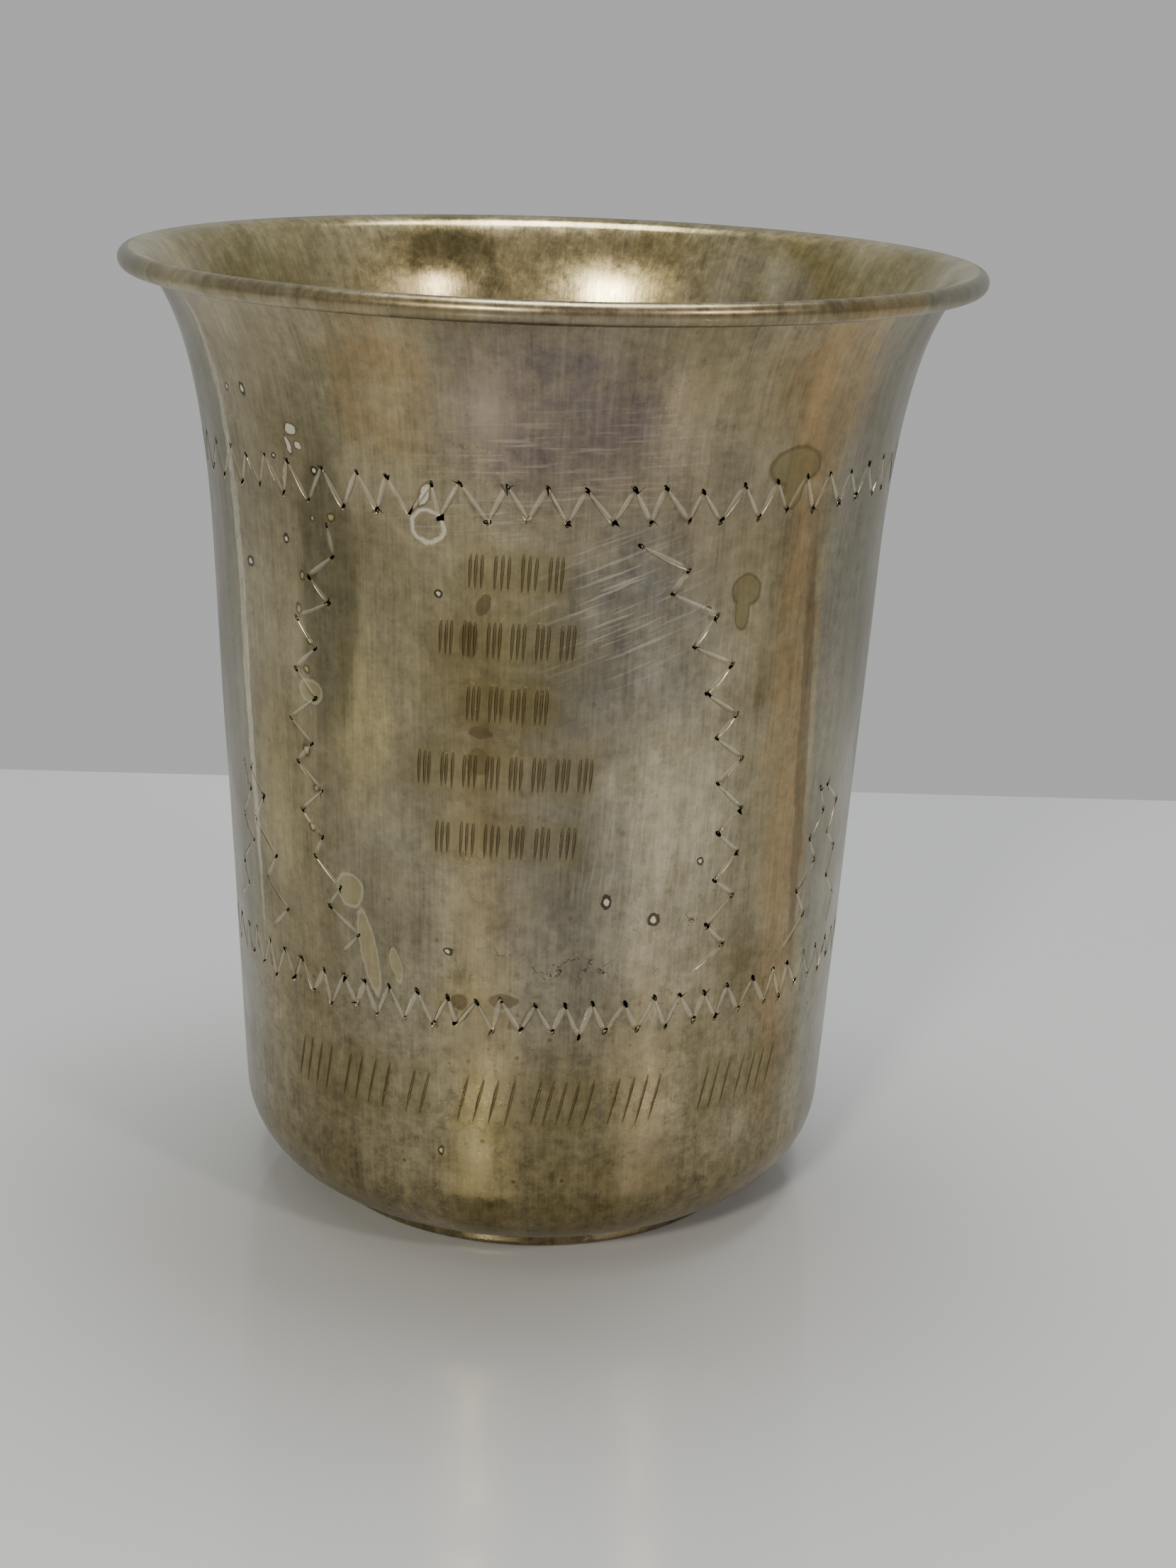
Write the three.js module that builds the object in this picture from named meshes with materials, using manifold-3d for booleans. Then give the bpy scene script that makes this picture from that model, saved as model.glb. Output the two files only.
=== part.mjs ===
// A kiddush cup: a beaker spun from one sheet of sterling silver, with a rolled rim, a
// curved lip, a slightly flared wall, a round bottom corner and a low foot ring. Zigzag
// lines are cut into the wall: a band under the lip, a band above the corner, and upright
// lines that frame a panel on the front and stand as a tent on each side of it.
//
// Millimetres, +Z up. The origin is the centre of the foot ring, on the surface that the
// cup stands on. The panel faces -Y. An angle on the wall is counted in degrees from the
// front, towards +X.

import * as THREE from 'three';
import { mergeVertices } from 'three/addons/utils/BufferGeometryUtils.js';
import Module from 'manifold-3d';

// Overall sizes.
const HEIGHT = 75.5;
const RIM_RADIUS = 33.0;
const SHEET = 0.6;

// Floor and foot ring, pressed from the same sheet.
const FLOOR_RECESS = 1.0;
const FOOT_RADIUS = 18.4;
const FOOT_WIDTH = 3.0;
const FOOT_SLOPE = 0.9;
const FOOT_EDGE = 0.5;
const FOOT_HEIGHT = 1.1;
const CREASE_DEPTH = 0.2;
const CREASE_RISE = 0.15;

// Round bottom corner and wall.
const CORNER_RADIUS = 7.1;
const CORNER_CENTRE = new THREE.Vector2(17.1, 8.3);
const CORNER_START = -78;
const WALL_TAPER = 0.0475;

// Curved lip and rolled bead.
const LIP_START = 54.0;
const LIP_RISE = new THREE.Vector2(0.7, 12.5);
const LIP_REACH = new THREE.Vector2(2.55, 2.6);
const BEAD_RADIUS = 0.8;
const BEAD_CENTRE = new THREE.Vector2(RIM_RADIUS - BEAD_RADIUS, HEIGHT - BEAD_RADIUS);
const BEAD_CREASE = -180;
const BEAD_TOP = 90;

// Engraved zigzags: stroke width, depth and the gap between the ends of two strokes.
const STROKE_WIDTH = 0.5;
const STROKE_DEPTH = 0.22;
const STROKE_GAP = 0.2;

// The two bands: height of the middle line, height of a tooth, number of teeth around.
const UPPER_BAND = { middle: 61.1, tooth: 2.5, teeth: 60 };
const LOWER_BAND = { middle: 22.5, tooth: 2.5, teeth: 70 };

// Upright zigzags: the middle line through [angle, height] points, and its two sizes.
const UPRIGHT = { tooth: 3.7, width: 2.2 };
const PANEL_RIGHT = [[17, 58.4], [29, 47], [33.5, 36], [30, 25.4]];
const PANEL_LEFT = [[-35, 58.0], [-41.5, 47], [-41, 36], [-33, 25.4]];
const TENT_PEAK = 37.5;
const TENT_FOOT = 25.2;
const TENT_ANGLE = 60;
const TENT_HALF_WIDTH = 9;

// Facets.
const AROUND = 52;
const CORNER_STEPS = 5;
const LIP_STEPS = 5;
const BEAD_STEPS = 9;

const { degToRad } = THREE.MathUtils;
const point = (radius, height) => new THREE.Vector2(radius, height);

/** Points of a profile arc between two angles in degrees; a falling angle runs clockwise. */
function arc(centre, radius, from, to, steps) {
  const curve = new THREE.EllipseCurve(
    centre.x, centre.y, radius, radius, degToRad(from), degToRad(to), to < from,
  );
  return curve.getPoints(steps);
}

/** The wall's slope as an angle in degrees, 0 for an upright wall. */
const WALL_ANGLE = THREE.MathUtils.radToDeg(Math.atan(WALL_TAPER));

/** Radius of the outside of the straight wall at a height. */
function wallRadius(height) {
  const start = point(CORNER_RADIUS, 0).rotateAround(point(0, 0), -degToRad(WALL_ANGLE));
  start.add(CORNER_CENTRE);
  return start.x + WALL_TAPER * (height - start.y);
}

/** The curve of the outside of the lip, from the wall to the crease under the bead. */
function lipCurve() {
  const foot = point(wallRadius(LIP_START), LIP_START);
  const crease = arc(BEAD_CENTRE, BEAD_RADIUS, BEAD_CREASE, 0, 1)[0];
  return new THREE.CubicBezierCurve(
    foot,
    foot.clone().add(LIP_RISE),
    crease.clone().sub(LIP_REACH),
    crease,
  );
}

/** Points along a curve, moved inwards by the thickness of the sheet. */
function inside(curve, steps) {
  const points = [];
  for (let step = 0; step <= steps; step += 1) {
    const along = curve.getTangent(step / steps);
    const inwards = point(-along.y, along.x).multiplyScalar(SHEET);
    points.push(curve.getPoint(step / steps).add(inwards));
  }
  return points;
}

/** The whole section: under the floor, up the outside, over the bead, down the inside. */
function cupProfile() {
  const footInner = FOOT_RADIUS - FOOT_WIDTH;
  const footEdge = point(FOOT_RADIUS - FOOT_EDGE, FOOT_EDGE);
  const lip = lipCurve();
  const floor = FLOOR_RECESS + SHEET;
  return [
    point(0, FLOOR_RECESS),
    point(footInner - FOOT_SLOPE, FLOOR_RECESS),
    point(footInner, 0),
    ...arc(footEdge, FOOT_EDGE, -90, 0, 2),
    point(FOOT_RADIUS, FOOT_HEIGHT),
    point(FOOT_RADIUS - CREASE_DEPTH, FOOT_HEIGHT + CREASE_RISE),
    ...arc(CORNER_CENTRE, CORNER_RADIUS, CORNER_START, -WALL_ANGLE, CORNER_STEPS),
    ...lip.getPoints(LIP_STEPS).slice(0, -1),
    ...arc(BEAD_CENTRE, BEAD_RADIUS, BEAD_CREASE, BEAD_TOP, BEAD_STEPS),
    ...inside(lip, LIP_STEPS).reverse(),
    ...arc(CORNER_CENTRE, CORNER_RADIUS - SHEET, -WALL_ANGLE, CORNER_START, CORNER_STEPS),
    point(footEdge.x - CREASE_DEPTH, FOOT_HEIGHT),
    point(footEdge.x - FOOT_EDGE, SHEET),
    point(footInner + FOOT_EDGE, SHEET),
    point(footInner - CREASE_DEPTH, floor),
    point(0, floor),
  ];
}

/** The cup without its engraving. */
function spunCup() {
  const geometry = new THREE.LatheGeometry(cupProfile(), AROUND);
  return geometry.rotateX(Math.PI / 2);
}

/** Radius of the outside of the wall or the lip at a height, along the facets. */
function outsideRadius(height) {
  if (height <= LIP_START) return wallRadius(height);
  const places = lipCurve().getPoints(LIP_STEPS);
  const above = places.findIndex((place) => place.y > height);
  const [low, high] = places.slice(above - 1, above + 1);
  return THREE.MathUtils.mapLinear(height, low.y, high.y, low.x, high.x);
}

/** The point of the cup's outside at an angle from the front and a height. */
function onWall([angle, height]) {
  const radius = outsideRadius(height);
  const turn = degToRad(angle);
  return new THREE.Vector3(radius * Math.sin(turn), -radius * Math.cos(turn), height);
}

/** One engraved stroke between two wall places: a long double wedge, deepest in its middle. */
function strokeCutter(from, to) {
  const start = onWall(from);
  const end = onWall(to);
  const along = end.clone().sub(start);
  const length = along.length() - STROKE_GAP;
  const middle = start.add(end).multiplyScalar(0.5);
  const outwards = middle.clone().setZ(0).normalize();
  const across = outwards.clone().cross(along.normalize()).normalize();
  const radial = along.clone().cross(across).normalize();
  const frame = new THREE.Matrix4().makeBasis(along, across, radial).setPosition(middle);
  const size = new THREE.Vector3(length / 2, STROKE_WIDTH / 2, STROKE_DEPTH);
  return new THREE.OctahedronGeometry(1).applyMatrix4(frame.scale(size));
}

/** The strokes that join a row of wall places. */
function strokesAlong(places) {
  return places.slice(1).map((place, index) => strokeCutter(places[index], place));
}

/** The turning points of a zigzag band that runs right round the cup. */
function bandPlaces({ middle, tooth, teeth }) {
  const places = [];
  for (let turn = 0; turn <= 2 * teeth; turn += 1) {
    const side = turn % 2 === 0 ? 0.5 : -0.5;
    places.push([(180 * turn) / teeth, middle + side * tooth]);
  }
  return places;
}

/** The turning points of an upright zigzag about a line through [angle, height] points. */
function uprightPlaces(guide) {
  const line = new THREE.SplineCurve(guide.map(([angle, height]) => point(angle, height)));
  const rise = Math.abs(guide[0][1] - guide.at(-1)[1]);
  const turns = 2 * Math.round(rise / UPRIGHT.tooth);
  return line.getPoints(turns).map(({ x: angle, y: height }, turn) => {
    const side = (turn % 2 === 0 ? 0.5 : -0.5) * UPRIGHT.width;
    return [angle + THREE.MathUtils.radToDeg(side / wallRadius(height)), height];
  });
}

/** The two leaning lines of a tent whose peak is at an angle from the front. */
function tentGuides(angle) {
  return [-TENT_HALF_WIDTH, TENT_HALF_WIDTH].map((lean) => [
    [angle + lean / 6, TENT_PEAK],
    [angle + lean / 2, (TENT_PEAK + TENT_FOOT) / 2],
    [angle + lean, TENT_FOOT],
  ]);
}

/** Every engraved stroke of the cup. */
function engraving() {
  const guides = [
    PANEL_LEFT,
    PANEL_RIGHT,
    ...tentGuides(-TENT_ANGLE),
    ...tentGuides(TENT_ANGLE),
  ];
  return [
    ...strokesAlong(bandPlaces(UPPER_BAND)),
    ...strokesAlong(bandPlaces(LOWER_BAND)),
    ...guides.flatMap((guide) => strokesAlong(uprightPlaces(guide))),
  ];
}

/** Triangles of a geometry as a closed solid of the boolean library. */
function solidOf(wasm, geometry) {
  geometry.deleteAttribute('normal');
  geometry.deleteAttribute('uv');
  const merged = mergeVertices(geometry);
  const index = merged.index.array;
  const corners = [];
  for (let face = 0; face < index.length; face += 3) {
    const triangle = index.slice(face, face + 3);
    if (new Set(triangle).size === 3) corners.push(...triangle);
  }
  return new wasm.Manifold(new wasm.Mesh({
    numProp: 3,
    vertProperties: merged.attributes.position.array,
    triVerts: Uint32Array.from(corners),
  }));
}

/** A solid of the boolean library as a geometry with flat faces. */
function geometryOf(solid) {
  const mesh = solid.getMesh();
  const geometry = new THREE.BufferGeometry();
  geometry.setAttribute('position', new THREE.BufferAttribute(mesh.vertProperties, 3));
  geometry.setIndex(new THREE.BufferAttribute(mesh.triVerts, 1));
  geometry.computeVertexNormals();
  return geometry;
}

/** The engraved cup as one mesh. */
async function cup() {
  const wasm = await Module();
  wasm.setup();
  let solid = solidOf(wasm, spunCup());
  for (const cutter of engraving()) {
    solid = solid.subtract(solidOf(wasm, cutter));
  }
  const silver = new THREE.MeshStandardMaterial({
    color: 0x8f8a7c,
    roughness: 0.35,
    metalness: 1,
  });
  const mesh = new THREE.Mesh(geometryOf(solid), silver);
  mesh.name = 'cup';
  return mesh;
}

const part = new THREE.Group();
part.add(await cup());

export default part;
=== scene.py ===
"""A tarnished sterling silver kiddush cup, dressed around its CAD frame.

The cup is one piece of spun sheet: a foot ring, a round bottom corner, a slightly flared
wall, a curved lip and a rolled bead. Its wall is engraved by hand: zigzag bands of
wriggle-work, upright zigzags that frame a panel, five rows of small strokes inside the
panel and a row of hatched marks near the bottom. Sizes are in millimetres and become
metres where a mesh is made. A place on the wall is an angle in degrees from the front
(-Y), counted towards +X, and a height.
"""

import logging
import math
import random
from collections.abc import Iterator
from dataclasses import dataclass, field
from enum import Enum
from functools import cached_property

import bmesh
import bpy
import numpy as np
from mathutils import Matrix, Vector, noise


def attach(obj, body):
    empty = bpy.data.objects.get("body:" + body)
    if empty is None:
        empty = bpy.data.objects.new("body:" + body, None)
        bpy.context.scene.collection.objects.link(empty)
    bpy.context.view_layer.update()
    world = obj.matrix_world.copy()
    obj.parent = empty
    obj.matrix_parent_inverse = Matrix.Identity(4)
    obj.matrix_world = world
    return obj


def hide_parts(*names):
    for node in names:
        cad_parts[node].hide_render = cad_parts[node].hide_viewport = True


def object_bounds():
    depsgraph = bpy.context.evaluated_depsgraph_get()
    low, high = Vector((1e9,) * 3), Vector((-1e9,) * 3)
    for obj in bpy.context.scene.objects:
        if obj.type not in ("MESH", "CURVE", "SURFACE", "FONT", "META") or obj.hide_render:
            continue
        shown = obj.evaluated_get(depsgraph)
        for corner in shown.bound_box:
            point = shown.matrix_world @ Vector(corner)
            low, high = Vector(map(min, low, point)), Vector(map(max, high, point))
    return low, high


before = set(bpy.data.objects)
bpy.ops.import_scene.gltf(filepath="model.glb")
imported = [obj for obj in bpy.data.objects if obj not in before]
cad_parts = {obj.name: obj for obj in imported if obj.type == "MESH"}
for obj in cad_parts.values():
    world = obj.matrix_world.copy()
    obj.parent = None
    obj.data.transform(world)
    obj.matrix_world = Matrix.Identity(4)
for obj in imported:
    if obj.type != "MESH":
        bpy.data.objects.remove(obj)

MM = 0.001
SEED = 7
NODE = "cup"
BODY = "root"
CAD_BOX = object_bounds()
MEAN_RADIUS = 25.5  # of the wall, in millimetres: it turns degrees into distances along it
MARK_EDGE = 0.06  # half the width of a small mark's edge, as a share of the mark's size

log = logging.getLogger("kiddush_cup")

Place = tuple[float, float]
Steps = tuple[int, int]
Socket = bpy.types.NodeSocket
Tree = bpy.types.NodeTree


def linear(colour: str) -> tuple[float, float, float, float]:
    """Turn an sRGB hex colour into the linear colour that a shader socket takes.

    Args:
        colour: Six hex digits, such as "8f8a7c".

    Returns:
        The linear red, green and blue, and an alpha of 1.
    """
    channels = [int(colour[i : i + 2], 16) / 255 for i in (0, 2, 4)]
    red, green, blue = (
        c / 12.92 if c <= 0.04045 else ((c + 0.055) / 1.055) ** 2.4 for c in channels
    )
    return (red, green, blue, 1.0)


def smooth_fall(distance: np.ndarray, reach: float) -> np.ndarray:
    """Fall smoothly from 1 at no distance to 0 at the reach.

    Args:
        distance: Distances, in the unit of the reach.
        reach: The distance at which the value is 0.

    Returns:
        The values, from 0 to 1.
    """
    share = np.clip(1 - distance / reach, 0, 1)
    return share * share * (3 - 2 * share)


# --------------------------------------------------------------------------- the spun form


@dataclass(frozen=True)
class Section:
    """The cup's section, in millimetres: radius outwards and height upwards."""

    height: float
    rim_radius: float
    sheet: float = 0.6
    floor_recess: float = 1.0
    foot_radius: float = 18.4
    foot_width: float = 3.0
    foot_slope: float = 0.9
    foot_edge: float = 0.5
    foot_height: float = 1.1
    crease_depth: float = 0.2
    crease_rise: float = 0.15
    corner_radius: float = 7.1
    corner_centre: Place = (17.1, 8.3)
    corner_start: float = -78.0
    wall_taper: float = 0.0475
    lip_start: float = 54.0
    lip_rise: Place = (0.7, 12.5)
    lip_reach: Place = (2.55, 2.6)
    bead_radius: float = 0.8
    foot_bevel: Place = (0.15, 0.12)
    row: float = 0.8
    corner_steps: Steps = (16, 12)
    lip_steps: Steps = (30, 20)
    wall_steps: int = 12
    foot_steps: int = 6
    bead_steps: int = 18

    @property
    def wall_angle(self) -> float:
        """The wall's slope in degrees, 0 for an upright wall."""
        return math.degrees(math.atan(self.wall_taper))

    def arc(self, centre: Place, radius: float, start: float, end: float, steps: int) -> list[Place]:
        """Place points along an arc.

        Args:
            centre: The arc's centre.
            radius: The arc's radius.
            start: The first point's angle in degrees.
            end: The last point's angle in degrees.
            steps: The number of steps between them.

        Returns:
            The points, both ends included.
        """
        turns = [math.radians(start + (end - start) * i / steps) for i in range(steps + 1)]
        return [(centre[0] + radius * math.cos(t), centre[1] + radius * math.sin(t)) for t in turns]

    def lip(self, inset: float, steps: int) -> list[Place]:
        """Place points along the lip's curve, from the wall up to the bead.

        Args:
            inset: How far the points are moved in from the outside.
            steps: The number of steps.

        Returns:
            The points, both ends included.
        """
        taper = math.radians(self.wall_angle)
        corner_x, corner_z = self.corner_centre
        start_radius = corner_x + self.corner_radius * math.cos(taper)
        start_height = corner_z - self.corner_radius * math.sin(taper)
        foot = Vector((start_radius + self.wall_taper * (self.lip_start - start_height), self.lip_start))
        bead = Vector((self.rim_radius - 2 * self.bead_radius, self.height - self.bead_radius))
        pull_up = foot + Vector(self.lip_rise)
        pull_out = bead - Vector(self.lip_reach)
        points = []
        for step in range(steps + 1):
            t = step / steps
            s = 1 - t
            place = s**3 * foot + 3 * s * s * t * pull_up + 3 * s * t * t * pull_out + t**3 * bead
            along = s * s * (pull_up - foot) + 2 * s * t * (pull_out - pull_up) + t * t * (bead - pull_out)
            inwards = Vector((-along.y, along.x)).normalized() * inset
            points.append(tuple(place + inwards))
        return points

    def rows_between(self, low: Place, high: Place) -> list[Place]:
        """Place points about a row apart on a straight line, without its ends.

        Args:
            low: Where the line starts.
            high: Where the line ends.

        Returns:
            The points between them.
        """
        start, end = Vector(low), Vector(high)
        steps = max(1, round((end - start).length / self.row))
        return [tuple(start.lerp(end, i / steps)) for i in range(1, steps)]

    def outside(self) -> list[Place]:
        """Give the wall and the lip from the foot's crease up to the bead.

        Returns:
            The points, upwards.
        """
        steps = self.corner_steps[0]
        corner = self.arc(self.corner_centre, self.corner_radius, self.corner_start, -self.wall_angle, steps)
        lip = self.lip(0, self.lip_steps[0])
        return corner + self.rows_between(corner[-1], lip[0]) + lip

    def whole(self) -> list[Place]:
        """Give the whole section: under the floor, up the outside, down the inside.

        Returns:
            The points, from the axis to the axis.
        """
        foot_inner = self.foot_radius - self.foot_width
        edge = (self.foot_radius - self.foot_edge, self.foot_edge)
        bead = (self.rim_radius - self.bead_radius, self.height - self.bead_radius)
        floor = self.floor_recess + self.sheet
        inner_lip = self.lip(self.sheet, self.lip_steps[1])[::-1]
        inner_radius = self.corner_radius - self.sheet
        turn = (-self.wall_angle, self.corner_start, self.corner_steps[1])
        inner_corner = self.arc(self.corner_centre, inner_radius, *turn)
        top, foot, steps = Vector(inner_lip[-1]), Vector(inner_corner[0]), self.wall_steps
        inner_wall = [tuple(top.lerp(foot, i / steps)) for i in range(1, steps)]
        return [
            (0.0, self.floor_recess),
            (foot_inner * 0.5, self.floor_recess),
            (foot_inner - self.foot_slope, self.floor_recess),
            (foot_inner - self.foot_bevel[0], self.foot_bevel[1]),
            (foot_inner + self.foot_bevel[0], 0.0),
            *self.arc(edge, self.foot_edge, -90, 0, self.foot_steps),
            (self.foot_radius, self.foot_height),
            (self.foot_radius - self.crease_depth, self.foot_height + self.crease_rise),
            *self.outside()[:-1],
            *self.arc(bead, self.bead_radius, -180, 90, self.bead_steps),
            *inner_lip,
            *inner_wall,
            *inner_corner,
            (edge[0] - self.crease_depth, self.foot_height),
            (edge[0] - self.foot_edge, self.sheet),
            (foot_inner + self.foot_edge, self.sheet),
            (foot_inner - self.crease_depth, floor),
            (foot_inner * 0.5, floor),
            (0.0, floor),
        ]

    @cached_property
    def profile(self) -> np.ndarray:
        """The outside as rows of [radius, height], upwards."""
        return np.array(self.outside())

    def radius_at(self, height: float | np.ndarray) -> float | np.ndarray:
        """Give the outside radius of the wall or the lip at a height.

        Args:
            height: One height in millimetres, or an array of them.

        Returns:
            The radius in millimetres, or an array.
        """
        return np.interp(height, self.profile[:, 1], self.profile[:, 0])


# --------------------------------------------------------------------------- the engraving


@dataclass(frozen=True)
class Stroke:
    """One shallow trough of the graver between two places on the wall."""

    start: Place
    end: Place
    width: float
    depth: float
    pit: bool = False
    halo: bool = False


@dataclass(frozen=True)
class Hand:
    """How a graver is handled: the width and depth of its cuts and how far they stray."""

    width: float
    depth: float
    stray: float
    faintest: float
    deepest: float = 1.15
    upright_share: float = 0.6
    width_spread: Place = (0.8, 1.2)

    def strokes(self, places: list[Place], dice: random.Random) -> Iterator[Stroke]:
        """Join the turning points of a zigzag, each a little off its place.

        Args:
            places: The turning points.
            dice: The source of the small errors.

        Yields:
            The strokes in order.
        """
        per_mm, up = math.degrees(1 / MEAN_RADIUS), self.stray * self.upright_share
        moved = [(a + dice.gauss(0, self.stray) * per_mm, h + dice.gauss(0, up)) for a, h in places]
        for start, end in zip(moved, moved[1:]):
            width = self.width * dice.uniform(*self.width_spread)
            depth = self.depth * dice.uniform(self.faintest, self.deepest)
            yield Stroke(start, end, width, depth, pit=True)


FIRM = Hand(width=0.46, depth=0.11, stray=0.24, faintest=0.5)
WORN = Hand(width=0.42, depth=0.08, stray=0.3, faintest=0.4)


@dataclass(frozen=True)
class Row:
    """A row of small strokes: its height, its middle and width in degrees, and its groups."""

    height: float
    middle: float
    width: float
    groups: int


@dataclass
class Engraving:
    """Everything that is cut into the wall, and the tool marks it is made of."""

    section: Section
    upper_middle: float = 61.1
    upper_teeth: int = 60
    lower_middle: float = 22.5
    lower_teeth: int = 70
    tooth: float = 2.5
    upright_pitch: float = 3.7
    upright_swing: float = 2.2
    panel_right: tuple[Place, ...] = ((17, 58.4), (29, 47), (33.5, 36), (30, 25.4))
    panel_left: tuple[Place, ...] = ((-35, 58.0), (-41.5, 47), (-41, 36), (-33, 25.4))
    tent_peak: float = 37.5
    tent_foot: float = 25.2
    tent_angle: float = 60.0
    tent_half_width: float = 9.0
    tent_parts: tuple[int, ...] = (6, 2, 1)
    rows: tuple[Row, ...] = (
        Row(56.3, -4.6, 16.0, 4),
        Row(51.4, -5.9, 22.5, 6),
        Row(46.7, -5.6, 14.0, 4),
        Row(41.6, -5.9, 29.5, 8),
        Row(36.4, -5.7, 24.5, 6),
    )
    row_tall: float = 2.9
    row_gap: float = 0.3
    ticks: int = 3
    tick_width: float = 0.24
    tick_depth: float = 0.09
    tick_lean: float = 0.15
    tick_stray: float = 0.06
    tick_shortest: float = 0.86
    mark_middles: tuple[float, ...] = (-43.3, -31.1, -20.7, -8.1, 5.1, 18.3, 34.4, 44.6)
    mark_widths: tuple[float, ...] = (7.4, 8.4, 2.6, 8.4, 9.4, 7.8, 5.2, 8.2)
    mark_height: float = 15.4
    mark_tall: float = 4.3
    mark_lean: float = 1.0
    mark_pitch: float = 2.6
    mark_stray: float = 0.1
    mark_shortest: float = 0.85
    flare: float = 0.3
    ball_sides: int = 8
    ball_rings: int = 7
    pit_width: float = 0.15
    pit_spread: Place = (0.8, 1.25)
    pit_stretch: float = 1.9
    pit_share: float = 0.03
    dice: random.Random = field(default_factory=lambda: random.Random(SEED))

    def on_wall(self, place: Place) -> Vector:
        """Find a place on the outside of the wall.

        Args:
            place: The angle in degrees and the height in millimetres.

        Returns:
            The point in millimetres.
        """
        angle, height = place
        radius = self.section.radius_at(height)
        turn = math.radians(angle)
        return Vector((radius * math.sin(turn), -radius * math.cos(turn), height))

    def band(self, middle: float, teeth: int) -> Iterator[Stroke]:
        """Cut a zigzag band right round the cup.

        Args:
            middle: The height of the band's middle line.
            teeth: The number of teeth around.

        Returns:
            The strokes.
        """
        half = self.tooth / 2
        turns = range(2 * teeth + 1)
        places = [(180 * t / teeth, middle + (half if t % 2 == 0 else -half)) for t in turns]
        return FIRM.strokes(places, self.dice)

    def upright(self, guide: tuple[Place, ...], hand: Hand) -> Iterator[Stroke]:
        """Cut an upright zigzag about a curve through a few places.

        Args:
            guide: The places that the middle line runs through, downwards.
            hand: How it is cut.

        Returns:
            The strokes.
        """
        heights = [h for _, h in guide]
        turns = 2 * round((heights[0] - heights[-1]) / self.upright_pitch)
        bend = np.polyfit(heights, [a for a, _ in guide], 2)
        places = []
        for turn in range(turns + 1):
            height = heights[0] + (heights[-1] - heights[0]) * turn / turns
            side = (-0.5 if turn % 2 == 0 else 0.5) * self.upright_swing
            swing = math.degrees(side / self.section.radius_at(height))
            places.append((float(np.polyval(bend, height)) + swing, height))
        return hand.strokes(places, self.dice)

    def tent(self, angle: float, hand: Hand) -> Iterator[Stroke]:
        """Cut the two leaning zigzags of a tent that stands on the lower band.

        Args:
            angle: The angle of the tent's peak.
            hand: How it is cut.

        Yields:
            The strokes.
        """
        heights = (self.tent_peak, (self.tent_peak + self.tent_foot) / 2, self.tent_foot)
        for lean in (-self.tent_half_width, self.tent_half_width):
            guide = tuple((angle + lean / part, height) for part, height in zip(self.tent_parts, heights))
            yield from self.upright(guide, hand)

    def tick(self, angle: float, height: float, half: float, lean: float) -> Stroke:
        """Lay out one small stroke by its middle, half its height and how far its ends lean."""
        ends = ((angle - lean, height - half), (angle + lean, height + half))
        return Stroke(*ends, self.tick_width, self.tick_depth, halo=True)

    def inscription(self) -> Iterator[Stroke]:
        """Cut the rows of small strokes inside the panel: groups of plain upright ticks.

        Yields:
            The strokes.
        """
        for row in self.rows:
            pitch = row.width / row.groups
            gap = pitch * self.row_gap
            for i in range(row.groups * self.ticks):
                group, tick = divmod(i, self.ticks)
                start = row.middle - row.width / 2 + pitch * group + gap / 2
                along = start + (pitch - gap) * (tick + 0.5) / self.ticks
                angle = along + self.dice.gauss(0, self.tick_stray)
                half = self.row_tall / 2 * self.dice.uniform(self.tick_shortest, 1.0)
                yield self.tick(angle, row.height, half, self.tick_lean)

    def hatched_marks(self) -> Iterator[Stroke]:
        """Cut the groups of larger leaning strokes above the bottom corner.

        Yields:
            The strokes.
        """
        for middle, width in zip(self.mark_middles, self.mark_widths):
            count = max(2, round(width / self.mark_pitch) + 1)
            for i in range(count):
                along = middle - width / 2 + width * i / (count - 1)
                angle = along + self.dice.gauss(0, self.mark_stray)
                half = self.mark_tall / 2 * self.dice.uniform(self.mark_shortest, 1.0)
                yield self.tick(angle, self.mark_height, half, self.mark_lean)

    def strokes(self) -> list[Stroke]:
        """List every stroke of the engraving."""
        return [
            *self.band(self.upper_middle, self.upper_teeth),
            *self.band(self.lower_middle, self.lower_teeth),
            *self.upright(self.panel_left, WORN),
            *self.upright(self.panel_right, FIRM),
            *self.tent(-self.tent_angle, WORN),
            *self.tent(self.tent_angle, FIRM),
            *self.inscription(),
            *self.hatched_marks(),
        ]

    def trough(self, stroke: Stroke) -> Matrix:
        """Lay a unit ball out as a long, narrow and shallow trough in the wall.

        Args:
            stroke: The stroke.

        Returns:
            The matrix, in metres.
        """
        start, end = self.on_wall(stroke.start), self.on_wall(stroke.end)
        half_way = [(a + b) / 2 for a, b in zip(stroke.start, stroke.end)]
        middle, along = ((start + end) / 2 + self.on_wall(half_way)) / 2, end - start
        length = along.length
        along.normalize()
        outwards = Vector((middle.x, middle.y, 0)).normalized()
        across = outwards.cross(along).normalized()
        radial = along.cross(across).normalized()
        sizes = Matrix((across * stroke.width / 2, radial * stroke.depth, along * length / 2))
        laid = (sizes.transposed() * MM).to_4x4()
        laid.translation = middle * MM
        return laid

    def tool_marks(self, strokes: list[Stroke]) -> Iterator[Matrix]:
        """Lay out the balls that cut the strokes, and the pits where a zigzag turns.

        Args:
            strokes: The strokes.

        Yields:
            The matrix of each ball.
        """
        for stroke in strokes:
            yield self.trough(stroke)
            if stroke.pit:
                start, end = self.on_wall(stroke.start), self.on_wall(stroke.end)
                reach = self.pit_width * self.dice.uniform(*self.pit_spread)
                turned = (end - start).to_track_quat("Z", "Y").to_matrix().to_4x4()
                size = Matrix.Diagonal(Vector((reach, reach, reach * self.pit_stretch, 1)))
                place = Matrix.Translation((start + (end - start) * self.pit_share) * MM)
                yield place @ turned @ size @ Matrix.Scale(MM, 4)

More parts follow.
